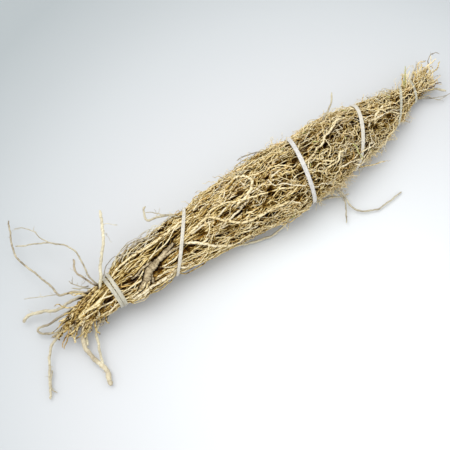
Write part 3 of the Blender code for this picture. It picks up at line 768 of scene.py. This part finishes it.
def bark(name, palette=ROOT_PALETTE, patch=(70, 220, 220), fibre=(500, 1500, 1500), spotted=0.42):
    """Dried root skin: a tint for each root, stained patches, dark spots where the skin is broken, and fine
    fibres along it. Painted shade makes it darker deep in the bundle and on each root's flanks."""
    tree = Tree(name)
    stored = tree.add("Attribute", {}, "Color", attribute_name="root_marks")
    marks = tree.add("SeparateColor", {"Color": stored})
    tint, shade, second = marks.node.outputs[:3]
    patches = tree.noise(patch)
    fibres = tree.noise(fibre, 2.0)
    spots = tree.noise((560, 1050, 1050), 2.0)
    light = tree.sum(tint, tree.range(patches, 0.3, 0.7, -0.14, 0.14))
    light = tree.sum(light, tree.range(fibres, 0.25, 0.75, -0.07, 0.07))
    light = tree.sum(light, tree.range(spots, 0.5, 0.61, 0.2 * spotted, -spotted))
    # painted shade: the lightness is multiplied by the shade mark
    light = tree.add("Math", {0: light, 1: shade}, operation="MULTIPLY")
    colour = tree.ramp(light, palette)
    greyed = tree.add("HueSaturation", {"Color": colour, "Saturation": 0.62, "Value": 0.97})
    warmed = tree.add("HueSaturation", {"Color": colour, "Hue": 0.483, "Saturation": 1.15, "Value": 0.95})
    colour = tree.mix(tree.range(second, 0.7, 1.0, 0.0, 0.8), colour, greyed)
    colour = tree.mix(tree.range(second, 0.0, 0.2, 1.0, 0.0), colour, warmed)
    tree.put(tree.shader, {
        "Base Color": colour,
        "Roughness": tree.range(fibres, 0.2, 0.8, 0.62, 0.88),
        "Specular IOR Level": 0.07,
    })
    tree.bump(tree.noise((900, 1900, 1900), 3.0, 0.65), 0.55, 0.00025)
    return tree.material


def elastic(name, colour, alpha):
    """Milky elastic: a little uneven across, faintly ribbed along, slightly see-through."""
    tree = Tree(name)
    streaks = tree.noise((1400, 500, 500), 2.0)
    cloud = tree.noise((180, 180, 180), 2.0)
    tree.put(tree.shader, {
        "Base Color": tree.scaled(tree.scaled(colour, tree.range(cloud, 0.35, 0.65, 0.9, 1.0)),
                                  tree.range(streaks, 0.3, 0.7, 0.74, 1.08)),
        "Roughness": tree.range(cloud, 0.3, 0.7, 0.28, 0.45),
        "Alpha": alpha,
    })
    tree.bump(streaks, 0.35, 0.00025)
    return tree.material


def band_piece(name, look):
    """A flat elastic band pulled tight round the bundle, as in the CAD. Two turns cross underneath and come
    edge to edge on one side."""
    band = BANDS[name]
    width, turns = band[3:]
    steps = 110 * turns
    i = np.arange(steps)
    angle = math.tau * turns * i / steps + math.pi / 2
    x = np.full(steps, band[0])
    for _ in range(4):
        _, _, a, b = section(x)
        x = band_x(band, a * np.cos(angle), b * np.sin(angle))
    lift = np.full(steps, BAND_GAP + BAND_THICKNESS / 2)
    if turns == 2:
        closer = 0.5 + 0.5 * np.cos(angle - TURNS_MEET)
        side = np.clip(2.5 * np.cos(math.tau * i / steps), -1, 1)
        x = x + TURN_SPACING / 2 * (1 - TURNS_CLOSER * closer) * side
        crossing = 1 - np.abs(i - 3 * steps / 4) / (steps / 12)
        lift = lift + (BAND_THICKNESS + BAND_GAP) * np.clip(2 * crossing, 0, 1)
    path = on_envelope(x, angle, -lift)
    path[:, 2] = np.maximum(path[:, 2], BAND_FLOOR + BAND_THICKNESS / 2)
    tangent = unit(np.roll(path, -1, axis=0) - np.roll(path, 1, axis=0))
    normal = np.stack([np.zeros(steps), np.cos(angle), np.sin(angle)], axis=-1)
    across = unit(np.cross(tangent, normal))
    up = unit(np.cross(across, tangent))
    wave = waves(1, (i / steps * math.tau * 20)[None], 31)[0]  # taken at a radius of 20
    half = width / 2 * ((1.03 if turns == 2 else 0.9) + 0.05 * wave)
    sides = 14
    turn = np.arange(sides) * math.tau / sides
    c, s = np.cos(turn), np.sin(turn)
    broad, high = np.sign(c) * np.abs(c) ** 0.45, np.sign(s) * np.abs(s) ** 0.7
    ring = (
        path[:, None] + across[:, None] * (half[:, None] * broad)[..., None]
        + up[:, None] * (BAND_THICKNESS / 2 * 0.9 * high)[None, :, None]
    )
    ids = np.arange(steps * sides).reshape(steps, sides)
    after, right = np.roll(ids, -1, axis=0), np.roll(ids, -1, axis=1)
    quads = np.stack([ids, after, np.roll(after, -1, axis=1), right], axis=-1).reshape(-1, 4)
    label = name + "_elastic"
    made = placed(label, smooth_mesh(label, ring.reshape(-1, 3), quads.tolist(), look))
    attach(made, "root")
    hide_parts(name)


# The pieces

root_skin = bark("dried_root_skin")
loose_skin = bark("loose_root_skin", LOOSE_PALETTE, spotted=0.1)
stout_skin = bark("stout_root_skin", STOUT_PALETTE, (160, 260, 260), (700, 900, 900), spotted=0.22)
green_skin = bark("dry_leaf_skin", GREEN_PALETTE, spotted=0.1)

core().build(root_skin, "root_bunch")

# Each call gives the count first. A tint is a root's lightness and how much that varies.
deep = Piece("deep_roots")
creeping(deep, 170, 4.8, 1.05, (0.8, 0.1), 17)
creeping(deep, 380, 3.2, 0.75, (0.82, 0.1), 24)
deep.build(root_skin, "root_bunch")

outer = Piece("outer_roots")
creeping(outer, 420, 2.0, 0.52, (0.84, 0.13), 28)
creeping(outer, 360, 1.1, 0.44, (0.88, 0.13), 32)
outer.build(root_skin, "root_bunch")

surface = Piece("surface_roots")
creeping(surface, 340, 0.3, 0.4, (0.9, 0.14), 38, sides=5)
creeping(surface, 24, 0.3, 0.62, (0.86, 0.12), 34, sides=5, span=(START_X, 0))
creeping(surface, 90, -0.2, 0.34, (0.88, 0.12), 34, sides=5, reach=0.8, lift=2.0, over=0.04)
creeping(surface, 40, 0.2, 0.66, (0.88, 0.1), 24, sides=5, reach=0.4, weave=2.6, span=(START_X, -126))
surface.build(root_skin, "root_bunch")

fine = Piece("fine_roots")
creeping(fine, 260, 0.9, 0.28, (0.9, 0.12), 32, reach=0.6, weave=1.4)
creeping(fine, 430, 0.1, 0.28, (0.94, 0.12), 32, reach=0.5, weave=1.4, span=(-75, END_X))
fine.build(root_skin, "root_bunch")

fringe = Piece("fringe_roots")
hairs(fringe, 200, (-150, 130), (-60, 240), 6.0, 0.2, 0.9)
hairs(fringe, 300, (10, 134), (-60, 240), 5.5, 0.18, 1.4)
hairs(fringe, 110, (30, 134), (-20, 50), 5.5, 0.2, 2.2, spread=1.3)
hairs(fringe, 150, (10, 110), (175, 230), 6.0, 0.2, 2.4, spread=1.3)
hairs(fringe, 80, (-75, 15), (0, 60), 6.0, 0.24, 2.0, spread=1.1, tint=(0.88, 0.1))
hairs(fringe, 80, (20, 112), (170, 215), 7.0, 0.25, 2.4, spread=1.2, tint=(0.88, 0.1))
hairs(fringe, 46, (-60, 118), (5, 50), 8.5, 0.3, 1.3, points=12, tint=(0.84, 0.12))
hairs(fringe, 30, (-40, 110), (180, 225), 9.0, 0.3, 1.6, points=12, tint=(0.84, 0.12))
hairs(fringe, 34, (26, 42), (178, 215), 9.0, 0.26, 2.4, spread=1.2, points=12, tint=(0.86, 0.1))
hairs(fringe, 26, (50, 72), (165, 200), 8.0, 0.26, 2.4, spread=1.2, points=12, tint=(0.86, 0.1))
creeping(fringe, 120, 0.0, 0.25, (0.96, 0.1), 26, reach=0.35, weave=2.2, span=(-65, 60))
arcs(fringe, 26, (-100, 10), (8, 60), 18, 2.4, 0.3)
arcs(fringe, 30, (10, 110), (0, 60), 14, 3.0, 0.28)
arcs(fringe, 40, (-60, 110), (170, 230), 14, 2.6, 0.28)
arcs(fringe, 40, (-120, 110), (60, 170), 16, 2.0, 0.28)
fan(fringe, 50, (-165, -146), (-1, -0.35, -0.1), 14, 0.5, 1.3, droop=0.5)
fan(fringe, 40, (-163, -150), (-1, -0.2, 0.1), 6, 0.62, 1.6, droop=0.2, points=12)
fan(fringe, 36, (-152, -137), (-0.7, -1, -0.3), 11, 0.38, 1.8, droop=0.6)
fan(fringe, 16, (-160, -140), (-1, 0.1, -0.1), 15, 0.42, 1.1, spread=1.2, tint=(0.82, 0.1))
fan(fringe, 190, (117, 137), (1, 0.4, 0.3), 14, 0.34, 2.4, spread=0.9, tint=(0.88, 0.12))
fan(fringe, 80, (113, 134), (1, 0.8, 0.4), 17, 0.24, 3.2, spread=0.9, tint=(0.94, 0.12))
fringe.build(root_skin, "root_bunch")

wisps = Piece("pale_wisps")
arcs(wisps, 26, (-127, -82), (8, 62), 25, 4.6, 0.4, tint=(0.9, 0.12))
arcs(wisps, 14, (-80, -10), (10, 60), 18, 3.0, 0.28, tint=(0.84, 0.1))
arcs(wisps, 16, (60, 122), (10, 60), 12, 4.0, 0.22, tint=(0.76, 0.1))
fan(wisps, 34, (-150, -135), (-0.4, -1, -0.45), 9, 0.3, 3.0, droop=0.3, tint=(0.92, 0.12))
wisps.build(loose_skin, "root_bunch")


def loose_root(piece, first, last, points, light, second):
    """One loose root with small bends, an uneven girth and a few thread-like rootlets."""
    path = wandering(smooth_path(points, 1.3), 0.28, 11)
    share = np.linspace(0, 1, len(path))
    swell = 1 + 0.13 * waves(1, share[None] * len(path) * 1.3, 6)[0]
    radii = lerp(first, last, share) * swell
    radii[-1] *= 0.6
    path = kept_between(path, radii)
    # painted shade: darker where the root runs inside the bundle, and on its flanks
    piece.tube(path, radii, (light, 1.0, second), 8, lumps=0.1, depth=depth_of(path) - 0.5)
    for place in rng.uniform(0.25, 0.95, rng.integers(1, 4)):
        start = path[int(place * (len(path) - 1))]
        if depth_of(start) < -1.5:
            t = np.linspace(0, 1, 7)[:, None]
            thread = start + rng.normal(0, 1, 3) * (1, 1, 0.5) * rng.uniform(1.5, 3.5) * t
            thread = wandering(thread, 0.4, 4)
            thread[0] = start
            thin = 0.2 * (1 - 0.6 * t[:, 0])
            if in_reach(thread[None])[0]:
                piece.tube(kept_between(thread, thin), thin, (light, 1.0, second), 4)


tan, pale = Piece("loose_tan_roots"), Piece("loose_pale_roots")
for first, last, looks, points in LOOSE_ROOTS.values():
    if looks:
        loose_root(pale, first, last, points, *looks)
    else:
        loose_root(tan, first, last, points, rng.uniform(0.68, 0.78), rng.uniform(0.5, 0.9))
for first, last, light, points in FINE_STRAYS:
    loose_root(pale, first, last, points, light, rng.uniform(0.2, 1))
step = 1.6
rows = [(*row, False) for row in SHOWN_ROOTS] + [(*row, True) for row in CROSSING_ROOTS]
for radius, places, over in rows:
    x, degrees = smooth_path(places, step).T
    angle = np.radians(degrees)
    share = np.linspace(0, 1, len(x))
    ends = np.clip(1 - np.minimum(share, 1 - share) * len(x) * step / 6, 0, 1) ** 2
    inset = band_cover(x, angle, 3.0 * ends - 1.0, np.full(len(x), radius), over)
    path = wandering(on_envelope(x, angle, inset), 0.1 if over else 0.3, 8)
    radii = radius * 0.9 * (1 - 0.4 * ends) * (1 + 0.12 * waves(1, share[None] * len(x) * step, 7)[0])
    path = kept_between(path, radii)
    mark = (rng.uniform(0.76, 0.92), 1.0, rng.uniform(0.8, 0.98))
    # painted shade from the inset: darker where the root sinks in, lighter on the side that faces out
    tan.tube(path, radii, mark, 8, outward(x, angle), depth=inset - 0.3)
tan.build(root_skin, "root_bunch")
pale.build(loose_skin, "root_bunch")

green = Piece("dry_leaf_bits")
for first, last, points in GREEN_SLIVERS:
    path = wandering(smooth_path(points, 1.2), 0.15, 6)
    green.tube(path, lerp(first, last, np.linspace(0, 1, len(path))), (0.8, 1.0, 0.4), 5)
for x, degrees in zip(rng.uniform(-20, 118, 40), rng.uniform(-180, 180, 40)):
    t = np.linspace(0, 1, 5)
    x = x + rng.uniform(-4, 4) * t
    path = on_envelope(x, np.radians(degrees) + rng.uniform(-0.2, 0.2) * t, 0.6 - 1.2 * t)
    if path[:, 2].min() > 0.6 and clear_of_bands(path[None])[0]:
        radii = 0.45 * np.sin(math.pi * (0.15 + 0.75 * t))
        green.tube(path, radii, (rng.uniform(0.5, 0.9), 1.0, 0.4), 5)
green.build(green_skin, "root_bunch")

stout = Piece("crooked_stout_root")
for rows in (STOUT_ROOT, *STOUT_BRANCHES):
    x, degrees, inset = smooth_path([row[:3] for row in rows], 0.5).T
    path = wandering(on_envelope(x, np.radians(degrees), inset), 0.25, 8)
    share = np.linspace(0, 1, len(path))
    radii = np.interp(share, np.linspace(0, 1, len(rows)), [row[3] for row in rows])
    along = share[None] * np.linalg.norm(np.diff(path, axis=0), axis=1).sum()
    rings = sum(np.exp(-(((along[0] - place) / 0.45) ** 2)) for place in rng.uniform(1, along[0, -1], 14))
    radii = radii * (0.95 + 0.12 * waves(1, along, 8)[0] + 0.06 * waves(1, along, 2.4)[0] - 0.1 * rings)
    # painted shade: an even small depth leaves the outer side light and colours the flanks and underside
    # darker
    normals, depth = outward(x, np.radians(degrees)), np.full(len(path), 0.1)
    stout.tube(path, radii, (0.785, 1.0, 0.5), 20, normals, lumps=0.08, depth=depth)
stout.build(stout_skin, "stout_root")

milky = elastic("milky_elastic", (0.8, 0.765, 0.71), 0.82)
cream = elastic("cream_elastic", (0.8, 0.745, 0.63), 0.8)
clouded = elastic("clouded_elastic", (0.71, 0.665, 0.53), 0.7)
clear = elastic("clear_elastic", (0.88, 0.88, 0.74), 0.32)
looks = {"band_1": clouded, "band_3": milky, "band_5": clear, "band_6": clear}
for name in BANDS:
    band_piece(name, looks.get(name, cream))

# The table, the light and the camera

CAMERA_AZIMUTH, CAMERA_ELEVATION = math.radians(-35.5), math.radians(64.0)
CAMERA_DISTANCE = 650.0
TARGET = Vector((-48, -4, 20))

mesh = bpy.data.meshes.new("table_top")
mesh.from_pydata([(-3, -3, 0), (3, -3, 0), (3, 3, 0), (-3, 3, 0)], [], [(0, 1, 2, 3)])
table_top = placed("table_top", mesh)
table_top.location.z = -0.0001
tree = Tree("pale_table")
turned = tree.add("Mapping", {
    "Vector": tree.add("TexCoord", {}, "Object"), "Location": (-0.0285, -0.119, 0.0),
    "Rotation": (0.0, 0.0, CAMERA_AZIMUTH), "Scale": (0.314, 0.376, 1.0),
}, vector_type="TEXTURE")
away = tree.add("VectorMath", {0: turned}, "Value", operation="LENGTH")
# painted light: the table is coloured lighter round a point in front of the bundle and darker further off, a
# painted pool of light with a slightly cool middle
shade = tree.ramp(away, (
    (0.0, (0.86, 0.89, 0.895)), (0.15, (0.79, 0.81, 0.815)), (0.3, (0.695, 0.705, 0.71)),
    (0.55, (0.585, 0.59, 0.595)), (0.72, (0.5, 0.515, 0.52)), (0.86, (0.415, 0.435, 0.44)),
    (1.0, (0.345, 0.37, 0.375)),
))
tree.put(tree.shader, {"Base Color": shade, "Roughness": 0.6, "Specular IOR Level": 0.2})
table_top.data.materials.append(tree.material)

lamp_place, lamp_target = Vector((-0.38, 0.36, 1.40)), Vector((-0.02, 0.0, 0.0))
light = bpy.data.lights.new("key_light", "AREA")
light.shape, light.size, light.energy = "DISK", 1.3, 9.5
lamp = placed("key_light", light)
lamp.location = lamp_place
lamp.rotation_euler = (lamp_target - lamp_place).to_track_quat("-Z", "Y").to_euler()

world = bpy.data.worlds.new("studio")
world.use_nodes = True
sky = world.node_tree.nodes["Background"].inputs
sky["Color"].default_value = (0.95, 0.975, 1.0, 1)
sky["Strength"].default_value = 1.17
bpy.context.scene.world = world
bpy.context.scene.view_settings.view_transform = "Standard"

back = Vector((
    math.sin(CAMERA_AZIMUTH) * math.cos(CAMERA_ELEVATION),
    -math.cos(CAMERA_AZIMUTH) * math.cos(CAMERA_ELEVATION),
    math.sin(CAMERA_ELEVATION),
))
camera_data = bpy.data.cameras.new("camera")
camera_data.lens, camera_data.sensor_width = 80.0, 36.0
camera = placed("camera", camera_data)
camera.location = (TARGET + CAMERA_DISTANCE * back) * MM
camera.rotation_euler = back.to_track_quat("Z", "Y").to_euler()
bpy.context.scene.camera = camera
